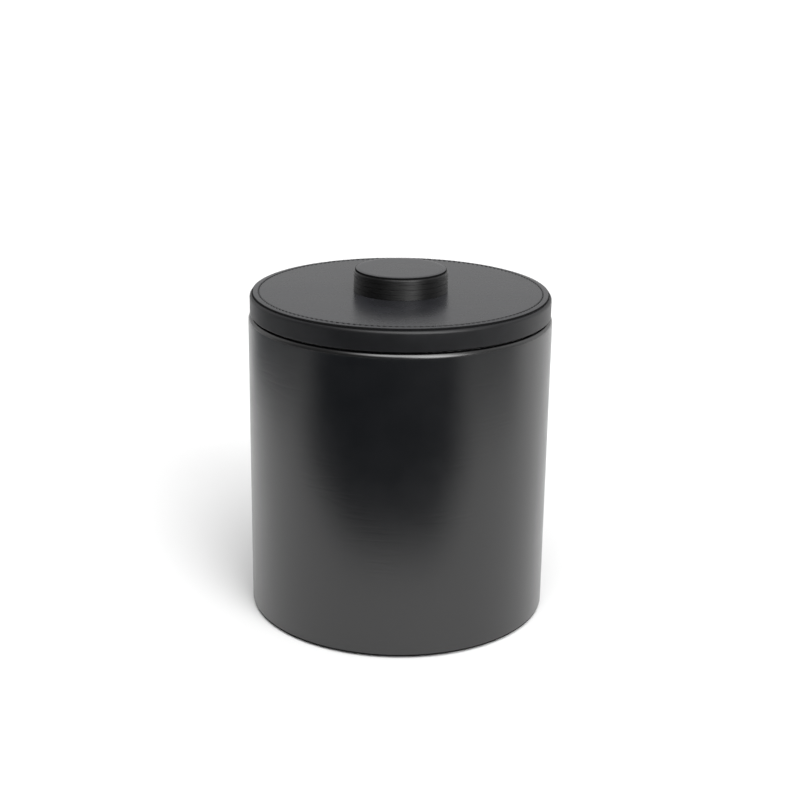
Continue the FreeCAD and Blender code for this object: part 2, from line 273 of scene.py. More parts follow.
def stitches(name, places):
    """One mesh of twisted thread loops. Each place gives its middle, its run, its side and its up."""
    chance = random.Random(SEED)
    sides, rings = 12, 13
    vertices, faces = [], []
    for middle, run, side, up in places:
        length = STITCH_LENGTH * chance.uniform(0.95, 1.03)
        slant = STITCH_SLANT * chance.uniform(0.75, 1.3)
        phase = chance.uniform(0, math.tau)
        first = len(vertices)
        for ring in range(rings):
            t = 2 * ring / (rings - 1) - 1
            dip = THREAD_RISE - THREAD_DIVE * abs(t) ** 7
            centre = middle + run * (t * length / 2) + side * (slant * t) + up * dip
            thin = 1 - THREAD_TAPER * abs(t) ** 4
            for k in range(sides):
                turn = math.tau * k / sides
                ply_turn = THREAD_PLIES * (turn - phase) - THREAD_TWIST * math.pi * t
                lobe = 1 - THREAD_PLY_DEPTH * (1 - math.cos(ply_turn))
                reach = THREAD_RADIUS * thin * lobe
                vertices.append(centre + side * (reach * math.cos(turn)) + up * (reach * math.sin(turn)))
        for ring in range(rings - 1):
            for k in range(sides):
                a = first + ring * sides + k
                b = first + ring * sides + (k + 1) % sides
                faces.append([a, b, b + sides, a + sides])
        faces.append([first + k for k in reversed(range(sides))])
        faces.append([first + (rings - 1) * sides + k for k in range(sides)])
    mesh = bpy.data.meshes.new(name)
    mesh.from_pydata(vertices, [], faces)
    mesh.polygons.foreach_set("use_smooth", [True] * len(faces))
    mesh.update()
    return link(name, mesh)


# ---- Materials ------------------------------------------------------------------------------
class Shader:
    """A node material with one Principled shader and short ways to add what feeds it."""

    def __init__(self, name, base, roughness, **settings):
        self.material = bpy.data.materials.new(name)
        self.material.use_nodes = True
        self.tree = self.material.node_tree
        self.surface = self.tree.nodes["Principled BSDF"]
        self.surface.inputs["Base Color"].default_value = (*base, 1)
        self.surface.inputs["Roughness"].default_value = roughness
        for key, value in settings.items():
            self.surface.inputs[key.replace("_", " ")].default_value = value
        self.material.diffuse_color = (*base, 1)

    def node(self, kind, **properties):
        made = self.tree.nodes.new("ShaderNode" + kind)
        for key, value in properties.items():
            setattr(made, key, value)
        return made

    def wire(self, source, target):
        self.tree.links.new(source, target)

    def place(self, source="Object", stretch=(1, 1, 1)):
        """Surface coordinates in millimetres, each axis divided by its stretch."""
        where = self.node("TexCoord")
        scaled = self.node("Mapping")
        scaled.inputs["Scale"].default_value = [1 / (MM * s) for s in stretch]
        self.wire(where.outputs[source], scaled.inputs["Vector"])
        return scaled.outputs["Vector"]

    def noise(self, where, size, detail=3.0, rough=0.55):
        """Soft noise between 0 and 1, its blobs about one size across."""
        made = self.node("TexNoise")
        made.inputs["Scale"].default_value = 1 / size
        made.inputs["Detail"].default_value = detail
        made.inputs["Roughness"].default_value = rough
        self.wire(where, made.inputs["Vector"])
        return made.outputs["Fac"]

    def cells(self, where, size):
        """Distance from the middle of rounded cells about one size across."""
        made = self.node("TexVoronoi")
        made.inputs["Scale"].default_value = 1 / size
        self.wire(where, made.inputs["Vector"])
        return made.outputs["Distance"]

    def remap(self, value, low, high, to_low=0.0, to_high=1.0):
        """Smooth step from to_low, where the value is low, to to_high, where it is high."""
        made = self.node("MapRange", interpolation_type="SMOOTHSTEP")
        for key, number in zip(("From Min", "From Max", "To Min", "To Max"), (low, high, to_low, to_high)):
            made.inputs[key].default_value = number
        self.wire(value, made.inputs["Value"])
        return made.outputs["Result"]

    def math(self, operation, a, b):
        made = self.node("Math", operation=operation)
        for socket, value in zip(made.inputs, (a, b)):
            if isinstance(value, (int, float)):
                socket.default_value = value
            else:
                self.wire(value, socket)
        return made.outputs["Value"]

    def blend_colour(self, factor, low, high):
        made = self.node("Mix", data_type="RGBA")
        made.inputs["A"].default_value = (*low, 1)
        made.inputs["B"].default_value = (*high, 1)
        self.wire(factor, made.inputs["Factor"])
        return made.outputs["Result"]

    def colour(self, source):
        self.wire(source, self.surface.inputs["Base Color"])

    def rough(self, source):
        self.wire(source, self.surface.inputs["Roughness"])

    def bump(self, height, depth):
        """Adds relief, depth in metres for a height of 1, on top of any relief so far."""
        made = self.node("Bump")
        made.inputs["Strength"].default_value = 1
        made.inputs["Distance"].default_value = depth
        self.wire(height, made.inputs["Height"])
        normal = self.surface.inputs["Normal"]
        if normal.is_linked:
            self.wire(normal.links[0].from_socket, made.inputs["Normal"])
        self.wire(made.outputs["Normal"], normal)


LEATHER_TINT = Vector((0.95, 0.97, 1.12))
CREASE_WIDTH = 0.08              # in units of the noise that a crease follows
GRAIN_DEPTH = 0.014 * MM
PORE_DEPTH = 0.007 * MM


def leather_material(name, shade, roughness, specular, wrinkles, mottling=0.3):
    """Smooth aniline calf: fine pores, soft mottling, and long faint wrinkles one way.

    The wrinkles are given as their coordinates, the stretch of these, and their depth.
    """
    wrinkle_source, wrinkle_stretch, wrinkle_depth = wrinkles
    tint = LEATHER_TINT * shade
    dark, light = tint * (1 - mottling), tint * (1 + mottling)
    made = Shader(name, (shade,) * 3, roughness, IOR=1.5, Specular_IOR_Level=specular)
    here = made.place()
    mottle = made.noise(here, 20, detail=2, rough=0.5)
    made.colour(made.blend_colour(made.remap(mottle, 0.3, 0.72), dark, light))

    wrinkle_place = made.place(wrinkle_source, wrinkle_stretch)
    folds = made.noise(wrinkle_place, 1.0, detail=2, rough=0.45)
    from_line = made.math("ABSOLUTE", made.math("SUBTRACT", folds, 0.5), 0)
    lines = made.remap(from_line, 0, CREASE_WIDTH, 1, 0)
    fainter = made.remap(mottle, 0.4, 0.6, 1, 0.35)
    creases = made.math("SUBTRACT", 1, made.math("MULTIPLY", lines, fainter))
    pores = made.cells(here, 0.42)
    grain = made.noise(here, 0.9, detail=3)

    made.rough(made.remap(mottle, 0.25, 0.75, roughness - 0.01, roughness + 0.015))
    made.bump(creases, wrinkle_depth)
    made.bump(grain, GRAIN_DEPTH)
    made.bump(pores, PORE_DEPTH)
    return made.material


def edge_paint_and_shade_material():
    """Painted cut edge: smooth and very dark, slightly wavy where the paint has flowed. Its darkness is
    partly real edge paint and partly painted shade of the crevice beside the edge.
    """
    made = Shader("edge_paint_and_shade", (0.004, 0.004, 0.0043), 0.8, IOR=1.4, Specular_IOR_Level=0.1)
    here = made.place()
    flow = made.noise(here, 2.2, detail=3)
    made.rough(made.remap(flow, 0.3, 0.7, 0.72, 0.88))
    made.bump(flow, 0.05 * MM)
    return made.material


def burnished_edge_material():
    """Side of the knob: cut leather, sanded and waxed, with fine lines around it."""
    made = Shader("burnished_leather", (0.003,) * 3, 0.46, IOR=1.5, Anisotropic=0.85,
                  Anisotropic_Rotation=0.25, Specular_IOR_Level=0.42)
    around = made.place("UV", (14, 0.16, 1))
    fibres = made.noise(around, 1.0, detail=5, rough=0.65)
    broad = made.noise(made.place("UV", (40, 0.9, 1)), 1.0, detail=2)
    tone = made.math("MULTIPLY", made.remap(fibres, 0.3, 0.7), made.remap(broad, 0.2, 0.8, 0.6, 1.0))
    made.colour(made.blend_colour(tone, (0.0015, 0.0015, 0.0016), (0.0040, 0.0039, 0.0039)))
    made.rough(made.remap(fibres, 0.3, 0.7, 0.39, 0.53))
    made.bump(fibres, 0.03 * MM)
    return made.material


def thread_material():
    """Black waxed thread with a little fuzz."""
    made = Shader("waxed_thread", (0.008, 0.008, 0.0085), 0.5, IOR=1.45)
    here = made.place()
    fuzz = made.noise(here, 0.16, detail=3)
    made.colour(made.blend_colour(made.remap(fuzz, 0.3, 0.7), (0.005, 0.005, 0.0055), (0.016, 0.016, 0.017)))
    made.rough(made.remap(fuzz, 0.3, 0.7, 0.42, 0.62))
    made.bump(fuzz, 0.03 * MM)
    return made.material


def steel_material(name, source, stretch, roughness=0.3):
    """Brushed stainless steel, its lines along the direction with the large stretch."""
    made = Shader(name, (0.62, 0.615, 0.6), roughness, Metallic=1.0)
    lines = made.noise(made.place(source, stretch), 1.0, detail=6, rough=0.7)
    stain = made.noise(made.place(), 60, detail=2)
    made.colour(made.blend_colour(made.remap(stain, 0.2, 0.8), (0.60, 0.595, 0.585), (0.65, 0.645, 0.635)))
    spread = made.math("ADD", made.remap(lines, 0.25, 0.75, -0.07, 0.07),
                       made.remap(stain, 0.2, 0.8, roughness - 0.012, roughness + 0.012))
    made.rough(spread)
    made.bump(lines, 0.012 * MM)
    return made.material


def napped_material(name, shade, tint):
    """Suede or felt: soft fibres lying in patches."""
    base = tuple(shade * t for t in tint)
    made = Shader(name, base, 0.9, IOR=1.4, Sheen_Weight=0.35, Sheen_Roughness=0.5)
    here = made.place()
    patches = made.noise(here, 9, detail=4)
    fibres = made.noise(here, 0.35, detail=4, rough=0.7)
    tone = made.math("MULTIPLY", made.remap(patches, 0.3, 0.7, 0.7, 1.0), made.remap(fibres, 0.2, 0.8))
    dark, light = tuple(0.6 * b for b in base), tuple(1.7 * b for b in base)
    made.colour(made.blend_colour(tone, dark, light))
    made.rough(made.remap(fibres, 0.3, 0.7, 0.82, 0.97))
    made.bump(fibres, 0.12 * MM)
    return made.material


def rubber_material():
    """Black silicone, slightly dusty."""
    made = Shader("silicone_rubber", (0.03, 0.03, 0.031), 0.55, IOR=1.42)
    here = made.place()
    dust = made.noise(here, 1.6, detail=5, rough=0.65)
    dusty = made.remap(dust, 0.35, 0.75)
    made.colour(made.blend_colour(dusty, (0.022, 0.022, 0.023), (0.045, 0.044, 0.043)))
    made.rough(made.remap(dust, 0.3, 0.7, 0.48, 0.64))
    made.bump(dust, 0.02 * MM)
    return made.material


def board_material():
    """Fibreboard: fine pressed fibres in browns."""
    made = Shader("fibreboard", (0.42, 0.3, 0.19), 0.8)
    here = made.place()
    fibres = made.noise(here, 0.8, detail=6, rough=0.7)
    broad = made.noise(here, 12, detail=3)
    tone = made.math("ADD", made.remap(fibres, 0.25, 0.75, 0, 0.7), made.remap(broad, 0.3, 0.7, 0, 0.3))
    made.colour(made.blend_colour(tone, (0.3, 0.2, 0.115), (0.52, 0.39, 0.26)))
    made.rough(made.remap(fibres, 0.3, 0.7, 0.7, 0.9))
    made.bump(fibres, 0.05 * MM)
    return made.material


def card_material():
    """Uncoated grey-brown card."""
    made = Shader("grey_card", (0.3, 0.26, 0.2), 0.9)
    here = made.place()
    fibres = made.noise(here, 0.6, detail=5, rough=0.7)
    made.colour(made.blend_colour(made.remap(fibres, 0.25, 0.75), (0.23, 0.195, 0.15), (0.38, 0.33, 0.26)))
    made.rough(made.remap(fibres, 0.3, 0.7, 0.82, 0.96))
    made.bump(fibres, 0.03 * MM)
    return made.material


def foam_material():
    """Closed-cell foam: small bubbles with thin walls."""
    made = Shader("cell_foam", (0.72, 0.62, 0.4), 0.75)
    here = made.place()
    cells = made.cells(here, 0.9)
    made.colour(made.blend_colour(made.remap(cells, 0.1, 0.7), (0.6, 0.49, 0.28), (0.8, 0.71, 0.49)))
    made.rough(made.remap(cells, 0.1, 0.7, 0.85, 0.6))
    made.bump(cells, 0.2 * MM)
    return made.material


def nylon_material():
    """Undyed nylon, faintly cloudy."""
    made = Shader("natural_nylon", (0.7, 0.67, 0.6), 0.45, IOR=1.53)
    here = made.place()
    cloud = made.noise(here, 2.5, detail=3)
    made.colour(made.blend_colour(made.remap(cloud, 0.3, 0.7), (0.62, 0.59, 0.52), (0.75, 0.73, 0.67)))
    made.rough(made.remap(cloud, 0.3, 0.7, 0.38, 0.52))
    made.bump(cloud, 0.01 * MM)
    return made.material


WALL_WRINKLES = ("UV", (60, 7.0, 1), 0.009 * MM)
TOP_WRINKLES = ("Object", (52, 7.0, 8), 0.010 * MM)
# One black leather in lit and shaded copies: the base shades paint in light and shade. The wall is darkest
# (painted shade), the lid's top and the knob's cap are lightest (painted light), and the band lies between.
wall_leather_painted_shade = leather_material("wall_leather_painted_shade", 0.0012, 0.255, 0.82, WALL_WRINKLES)
band_leather = leather_material("band_leather", 0.0055, 0.42, 0.34, WALL_WRINKLES)
top_leather_painted_light = leather_material("top_leather_painted_light", 0.017, 0.27, 0.31, TOP_WRINKLES, 0.13)
edge_paint_and_shade = edge_paint_and_shade_material()
burnished = burnished_edge_material()
thread = thread_material()
wall_steel = steel_material("brushed_steel", "UV", (90, 0.22, 1))
flat_steel = steel_material("turned_steel", "Object", (0.5, 0.5, 0.5), 0.28)
suede = napped_material("lining_suede", 0.03, (1.05, 1.0, 0.95))
foot_suede = napped_material("foot_suede", 0.018, (1.0, 1.0, 1.0))
rubber = rubber_material()
board = board_material()
card = card_material()
foam = foam_material()
nylon = nylon_material()


# ---- Bucket ---------------------------------------------------------------------------------
WRAP_RADIUS = radius("side_leather")
RIM = top("side_leather")
FOOT = bottom("side_leather")
WALL_OUTER = radius("shell_wall")
WALL_INNER = radius("base_board")
SEAM_GAP = 0.06 * MM            # the two cut edges are pressed together
SEAM_EDGE_ROLL = 1.3 * MM        # how far from the joint the edges start to roll in
SEAM_EDGE_DROP = 0.55 * MM
SEAM_ROW = 3.0 * MM
SEAM_END_MARGIN = 5.0 * MM
SEAM_CHANNEL_DEPTH = 0.30 * MM
SEAM_THREAD_SINK = 0.29 * MM
WALL_SWELL = 0.10 * MM           # how far the leather wanders from a true cylinder
OUTER_ROUNDING = 3.2 * MM
INNER_ROUNDING = 1.8 * MM
FOOT_ROUNDING = 1.6 * MM         # its rounding and the run under it take the dark edge material as painted shade where the foot meets the floor


def edge_drop(distance):
    """How far a leather edge rolls in at a distance from the joint."""
    near = np.clip(1 - distance / SEAM_EDGE_ROLL, 0, 1)
    return SEAM_EDGE_DROP * (1 - np.sqrt(1 - near ** 2))


def seam_distance(angle, at_radius):
    """Distance along the surface from the middle of the rear joint."""
    turn = (angle - REAR) % math.tau
    return np.minimum(turn, math.tau - turn) * at_radius


def wall_sink(angle, at_radius, height):
    return sunk(angle, at_radius, height, 60 * MM, WALL_SWELL, 11)


def wrap_relief(angle, at_radius, height):
    outside = (at_radius - WALL_OUTER) / LEATHER
    above = (height - RIM + LEATHER) / LEATHER
    inside = np.where(height > RIM / 2, (WALL_INNER - at_radius) / LEATHER, 0)
    exposed = np.clip(np.maximum(np.maximum(outside, above), inside), 0, 1)
    distance = seam_distance(angle, WRAP_RADIUS)
    lift = wall_sink(angle, at_radius, height) - edge_drop(distance - SEAM_GAP / 2)
    sewn = (height > FOOT + SEAM_END_MARGIN) & (height < RIM - SEAM_END_MARGIN) & (outside > 0.9)
    channel = -SEAM_CHANNEL_DEPTH * bell(distance - SEAM_ROW, GROOVE_HALF_WIDTH)
    return exposed * (lift + np.where(sewn, channel, 0))


def wrap_angles():
    """Columns close together beside the rear seam, and wider apart around the rest."""
    gap = SEAM_GAP / 2 / WRAP_RADIUS
    fine, coarse, fine_reach = 0.16 * MM / WRAP_RADIUS, 1.7 * MM / WRAP_RADIUS, 4.6 * MM / WRAP_RADIUS
    near = [gap + fine * i for i in range(math.ceil(fine_reach / fine))]
    start, stop = near[-1] + coarse, math.tau - near[-1] - coarse
    count = math.ceil((stop - start) / coarse)
    middle = [start + (stop - start) * i / count for i in range(count + 1)]
    return [REAR + a for a in near + middle + [math.tau - a for a in reversed(near)]]


def body_wrap():
    lining_top = top("cavity_lining")
    card_edge = radius("base_filler_card")
    shape = outline([
        # The run under the foot and the foot's rounding get the dark edge material: painted shade of the
        # contact with the floor.
        (card_edge, FOOT, 0, 2 * MM, 1),
        (WRAP_RADIUS, FOOT, FOOT_ROUNDING, 1.6 * MM),
        (WRAP_RADIUS, RIM, OUTER_ROUNDING, 1 * MM),
        (WALL_INNER - LEATHER, RIM, INNER_ROUNDING, 2 * MM),
        (WALL_INNER - LEATHER, lining_top, 0),
        (WALL_INNER, lining_top, 0),
        (WALL_INNER, RIM - LEATHER, INNER_ROUNDING - LEATHER),
        (WALL_OUTER, RIM - LEATHER, OUTER_ROUNDING - LEATHER),
        (WALL_OUTER, FOOT + LEATHER, FOOT_ROUNDING - LEATHER),
        (card_edge, FOOT + LEATHER, 0),
    ])
    piece = turned("body_wrap", shape, wrap_angles(), wrap_relief, full_turn=False)
    return install(piece, "bucket", "black_leather", [wall_leather_painted_shade, edge_paint_and_shade], "side_leather")


def seam_stitches():
    count = round((RIM - FOOT - 2 * SEAM_END_MARGIN) / STITCH_PITCH)
    places = []
    for hand in (-1, 1):
        turn = REAR + hand * SEAM_ROW / WRAP_RADIUS
        out = Vector((math.cos(turn), math.sin(turn), 0))
        side = Vector((-math.sin(turn), math.cos(turn), 0)) * hand
        for i in range(count):
            height = FOOT + SEAM_END_MARGIN + (i + 0.5) * STITCH_PITCH
            level = WRAP_RADIUS - SEAM_THREAD_SINK + wall_sink(turn, WRAP_RADIUS, height)
            places.append((out * level + Vector((0, 0, height)), Vector((0, 0, 1)), side, out))
    piece = stitches("seam_stitches", places)
    return install(piece, "bucket", "thread", [thread], "rear_seam_thread")


def lining():
    """Suede sleeve and floor of the cavity, with soft edges."""
    lining_top, lining_bottom = top("cavity_lining"), bottom("cavity_lining")
    inner = radius("cavity_floor_pad")
    shape = outline([
        (inner, lining_bottom, 0),
        (WALL_INNER, lining_bottom, 0),
        (WALL_INNER, lining_top, 0),
        (inner, lining_top, 0.3 * MM, 3 * MM),
    ])
    sleeve = turned("lining_sleeve", shape, even_angles(360))
    install(sleeve, "bucket", "lining_suede", [suede], "cavity_lining")
    floor_top, floor_bottom = top("cavity_floor_pad"), bottom("cavity_floor_pad")
    floor = turned("lining_floor", outline([
        (0, floor_bottom, 0),
        (inner, floor_bottom, 0),
        (inner, floor_top, 0.3 * MM, 3 * MM),
        (0, floor_top, 0),
    ], closed=False), even_angles(240))
    install(floor, "bucket", "lining_suede", [suede], "cavity_floor_pad")


def foot():
    low, high = bottom("base_pad"), top("base_pad")
    edge = radius("base_pad")
    piece = turned("foot_pad", outline([
        (0, low, 0, 3 * MM),
        (edge, low, 0.3 * MM),
        (edge, high, 0, 3 * MM),
        (0, high, 0),
    ], closed=False), even_angles(360))
    sharpen(piece, 50)
    return install(piece, "bucket", "foot_suede", [foot_suede], "base_pad")


# ---- Liner ----------------------------------------------------------------------------------
POT_DRAFT = 1.4 * MM
POT_FLOOR_CORNER = 14 * MM
POT_MOUTH_CORNER = 1.6 * MM
JACKET_CORNER = 5 * MM
MOUTH_CLEARANCE = 0.4 * MM       # between the gasket's lip and the mouth
GASKET_LIP = 2.2 * MM            # thickness of the lip beside the plug


def plug_radius():
    """Outside of the lid's steel plug. Its foam fills it to one sheet's thickness."""
    return radius("lid_foam") + STEEL


def mouth_radius():
    return plug_radius() + GASKET_LIP + MOUTH_CLEARANCE


def liner_pot():
    mouth, floor_radius = mouth_radius(), mouth_radius() - POT_DRAFT
    low, rim, high = bottom("liner_pot"), top("liner_jacket"), top("liner_pot")
    flange = radius("liner_pot")
    piece = turned("steel_pot", outline([
        (0, low, 0, 4 * MM),
        (floor_radius + STEEL, low, POT_FLOOR_CORNER + STEEL, 4 * MM),
        (mouth + STEEL, rim, POT_MOUTH_CORNER, 2 * MM),
        (flange, rim, STEEL * 0.45),
        (flange, high, STEEL * 0.45, 2 * MM),
        (mouth, high, POT_MOUTH_CORNER + STEEL, 4 * MM),
        (floor_radius, low + STEEL, POT_FLOOR_CORNER, 4 * MM),
        (0, low + STEEL, 0),
    ], closed=False), even_angles(240))
    return install(piece, "liner", "liner_steel", [wall_steel], "liner_pot")


def liner_jacket():
    outer = radius("liner_jacket")
    low, high = bottom("liner_jacket"), top("liner_jacket")
    piece = turned("steel_jacket", outline([
        (0, low, 0, 4 * MM),
        (outer, low, JACKET_CORNER, 4 * MM),
        (outer, high, 0),
        (outer - STEEL, high, 0, 4 * MM),
        (outer - STEEL, low + STEEL, JACKET_CORNER - STEEL, 4 * MM),
        (0, low + STEEL, 0),
    ], closed=False), even_angles(240))
    sharpen(piece, 50)
    return install(piece, "liner", "liner_steel", [wall_steel], "liner_jacket")


# ---- Lid ------------------------------------------------------------------------------------
LID_RADIUS = radius("lid_side_leather")
LID_BOTTOM = bottom("lid_side_leather")
SKIN_TOP = top("lid_side_leather")
LID_TOP = top("lid_top_leather")
DISC_RADIUS = radius("lid_top_leather")
STITCH_RADIUS = radius("lid_stitching") - 0.4 * MM
KNOB_RADIUS = radius("knob_layer_1")
LID_UPPER_ROUNDING = 2.2 * MM
LID_LOWER_ROUNDING = 1.0 * MM
# rounding of the disc's edge that takes the dark edge material: edge paint with painted shade
EDGE_PAINT_AND_SHADE_ROUNDING = 0.85 * MM
EDGE_SLOPE = 0.35 * MM            # fall of the disc from its stitches to its edge
EDGE_SLOPE_BEND = 2.3 * MM       # where that fall gets steeper
DISC_WAVE = 0.12 * MM
BAND_WAVE = 0.10 * MM
BAND_JOINT_DEPTH = 0.35 * MM
BAND_JOINT_WIDTH = 0.28 * MM
SCREW_HOLE = 2.8 * MM


def band_relief(angle, at_radius, height):
    """The band's own butt joint, in line with the seam below it, and a slight hand-made wave."""
    outside = (at_radius - LID_RADIUS + LEATHER) / LEATHER
    above = (height - SKIN_TOP + LEATHER) / LEATHER
    exposed = np.clip(np.maximum(outside, above), 0, 1)
    joint = BAND_JOINT_DEPTH * bell(seam_distance(angle, LID_RADIUS), BAND_JOINT_WIDTH)
    return exposed * (sunk(angle, at_radius, height, 40 * MM, BAND_WAVE, 23) - joint)


def band_angles():
    fine = 0.12 * MM / LID_RADIUS
    near = [fine * i for i in range(9)]
    count = 600
    start, stop = near[-1] * 1.5, math.tau - near[-1] * 1.5
    middle = [start + (stop - start) * i / count for i in range(count + 1)]
    return [REAR + a for a in near + middle + [math.tau - a for a in reversed(near[1:])]]


def lid_band():
    core = radius("lid_core")
    core_top, core_bottom = top("lid_core"), bottom("lid_core")
    over = radius("lid_filler_card")
    under = radius("lid_pan") + 0.4 * MM
    piece = turned("lid_band", outline([
        (under, LID_BOTTOM, 0, 2 * MM),
        (LID_RADIUS, LID_BOTTOM, LID_LOWER_ROUNDING, 0.8 * MM),
        (LID_RADIUS, SKIN_TOP, LID_UPPER_ROUNDING, 2 * MM),
        (over, SKIN_TOP, 0),
        (over, core_top, 0),
        (core, core_top, LID_UPPER_ROUNDING - LEATHER),
        (core, core_bottom, 0),
        (under, core_bottom, 0),
    ]), band_angles(), band_relief)
    return install(piece, "lid", "black_leather", [band_leather], "lid_side_leather")


def disc_wave(angle, at_radius):
    """Slight rise and fall of the disc, away from the knob that is pressed on it."""
    clear = np.clip((at_radius - KNOB_RADIUS) / (12 * MM), 0, 1)
    return clear * sunk(angle, at_radius, 0, 45 * MM, DISC_WAVE, 31)


def disc_relief(angle, at_radius, height):
    on_top = np.clip((height - SKIN_TOP) / LEATHER * 2, 0, 1)
    across = at_radius - STITCH_RADIUS
    sewing = stitch_relief((angle - REAR) * STITCH_RADIUS, across)
    return on_top * (disc_wave(angle, at_radius) + np.where(np.abs(across) < 2 * MM, sewing, 0))


def ring_pitch_count():
    return round(math.tau * STITCH_RADIUS / STITCH_PITCH)


def lid_disc():
    columns = ring_pitch_count() * 8
    flank = 1.2 * MM
    piece = turned("lid_disc", outline([
        (SCREW_HOLE, SKIN_TOP, 0),
        # The disc's edge and its rounding take the dark edge material: edge paint with painted shade of the
        # crevice against the band.
        (DISC_RADIUS, SKIN_TOP, 0.12 * MM, None, 1),
        (DISC_RADIUS, LID_TOP - EDGE_SLOPE, EDGE_PAINT_AND_SHADE_ROUNDING, 0.3 * MM),
        (STITCH_RADIUS + EDGE_SLOPE_BEND, LID_TOP - 0.3 * EDGE_SLOPE, 6 * MM, 0.17 * MM),
        (STITCH_RADIUS + 0.5 * MM, LID_TOP, 4 * MM, 0.17 * MM),
        (STITCH_RADIUS - flank, LID_TOP, 0, 5 * MM),
        (SCREW_HOLE, LID_TOP, 0),
    ]), even_angles(columns), disc_relief)
    return install(piece, "lid", "black_leather", [top_leather_painted_light, edge_paint_and_shade], "lid_top_leather")


def lid_stitches():
    places = []
    count = ring_pitch_count()
    for i in range(count):
        turn = REAR + math.tau * (i + 0.5) / count
        out = Vector((math.cos(turn), math.sin(turn), 0))
        run = Vector((-math.sin(turn), math.cos(turn), 0))
        level = LID_TOP + float(disc_wave(turn, STITCH_RADIUS))
        places.append((out * STITCH_RADIUS + Vector((0, 0, level)), run, out, Vector((0, 0, 1))))
    piece = stitches("lid_stitches", places)
    return install(piece, "lid", "thread", [thread], "lid_stitching")


def lid_pan():
    plug = plug_radius()
    low, high = bottom("lid_pan"), top("lid_pan")
    flange, corner = radius("lid_pan"), 6 * MM
    piece = turned("steel_pan", outline([
        (SCREW_HOLE, low, 0, 3 * MM),
        (plug, low, corner, 2 * MM),
        (plug, high - STEEL, 0),
        (flange, high - STEEL, STEEL * 0.45),
        (flange, high, 0),
        (plug - STEEL, high, 0),
        (plug - STEEL, low + STEEL, corner - STEEL, 3 * MM),
        (SCREW_HOLE, low + STEEL, 0),
    ]), even_angles(240))
    sharpen(piece, 50)
    return install(piece, "lid", "liner_steel", [wall_steel], "lid_pan")


def gasket():
    """Soft ring with a leaf on the flange and three ribs down its lip."""
    plug, leaf = plug_radius(), radius("lid_gasket")
    low, high = bottom("lid_gasket"), top("lid_gasket")
    leaf_bottom = LID_BOTTOM
    lip = plug + GASKET_LIP
    rib, ribs = 0.45 * MM, 3

    def ribbed(angle, at_radius, height):
        share = (height - low) / (leaf_bottom - low)
        hollow = -rib * (0.5 + 0.5 * np.cos(math.tau * ribs * share))
        return np.where(np.abs(at_radius - lip) < 0.1 * MM, hollow, 0)

    piece = turned("gasket_ring", outline([
        (plug, low, 0.25 * MM),
        (lip, low, 0.25 * MM, 0.12 * MM),
        (lip, leaf_bottom, 0),
        (leaf, leaf_bottom, 0.25 * MM),
        (leaf, high, 0),
        (plug, high, 0),
    ]), even_angles(360), ribbed)
    return install(piece, "lid", "silicone", [rubber], "lid_gasket")


# ---- Knob -----------------------------------------------------------------------------------
KNOB_LAYERS = 4
LAYER_ROUNDING = 0.16 * MM
KNOB_TOP_ROUNDING = 1.0 * MM
CAP_SLOPE = 0.28 * MM
CAP_WAVE = 0.05 * MM
CAP_SLOPE_WIDTH = 2.4 * MM


def knob_layer(number):
    node = f"knob_layer_{number}"
    low, high = bottom(node), top(node)
    chance = random.Random(SEED + number)
    inset = chance.uniform(0.02, 0.09) * MM
    is_top = number == KNOB_LAYERS
    bore = radius("knob_insert") if is_top else SCREW_HOLE + 0.9 * MM

    def fibres(angle, at_radius, height):
        around = KNOB_RADIUS * angle / 9      # the fibres lie around the knob
        rough = 0.035 * MM * (unevenness(around, 0, height, 0.7 * MM, SEED + number) - 1)
        return np.where(at_radius > KNOB_RADIUS - 2 * MM, rough - inset, 0)

    piece = turned(f"knob_disc_{number}", outline([
        (bore, low, 0),
        (KNOB_RADIUS, low, LAYER_ROUNDING, 0.16 * MM),
        (KNOB_RADIUS, high, KNOB_TOP_ROUNDING if is_top else LAYER_ROUNDING, 0.5 * MM),
        (KNOB_RADIUS - 3 * MM, high, 0),
        (bore, high, 0),
    ]), even_angles(300), fibres)
    return install(piece, "lid", "knob_leather", [burnished], node)


def cap_relief(angle, at_radius, height):
    low, high = bottom("knob_cap"), top("knob_cap")
    return np.where(height > (low + high) / 2, sunk(angle, at_radius, 0, 16 * MM, CAP_WAVE, 47), 0)


def knob_cap():
    edge, low, high = radius("knob_cap"), bottom("knob_cap"), top("knob_cap")
    piece = turned("knob_cap_disc", outline([
        (0, low, 0),
        # The cap's edge and its rounding take the dark edge material: edge paint with painted shade of the
        # crevice above the knob's side.
        (edge, low, 0.1 * MM, None, 1),
        (edge, high - CAP_SLOPE, 0.42 * MM, 0.5 * MM),
        (edge - CAP_SLOPE_WIDTH, high, 9 * MM, 2 * MM),
        (0, high, 0),
    ], closed=False), even_angles(300), cap_relief)
    return install(piece, "lid", "black_leather", [top_leather_painted_light, edge_paint_and_shade], "knob_cap")


# ---- CAD nodes that stay --------------------------------------------------------------------
def finish_cad_nodes():
    kept = {
        "base_filler_card": card, "lid_filler_card": card,
        "base_board": board, "shell_wall": board, "lid_core": board,
        "liner_foam_floor": foam, "liner_foam_sleeve": foam, "lid_foam": foam,
        "screw_spacer": nylon, "sealing_washer": rubber,
        "steel_washer": flat_steel, "knob_screw": flat_steel, "knob_insert": flat_steel,
    }
    for node, material in kept.items():
        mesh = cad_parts[node].data
        mesh.materials.clear()
        mesh.materials.append(material)


# ---- Studio ---------------------------------------------------------------------------------
FLOOR_TONE = 0.70
FLOOR_SIZE = 24
FLOOR_DROP = 0.1 * MM             # keeps the floor clear of the foot pad's own underside
CARD_HEIGHT = 2 * MM
CARD_DEPTH = 0.985                # how much of the floor's tone the dark card takes away
CARD_GREEN, CARD_BLUE = 0.008, 0.019
WORLD_BASE = 0.08
BACKDROP = 1.05                   # brightness of the background where the camera sees it


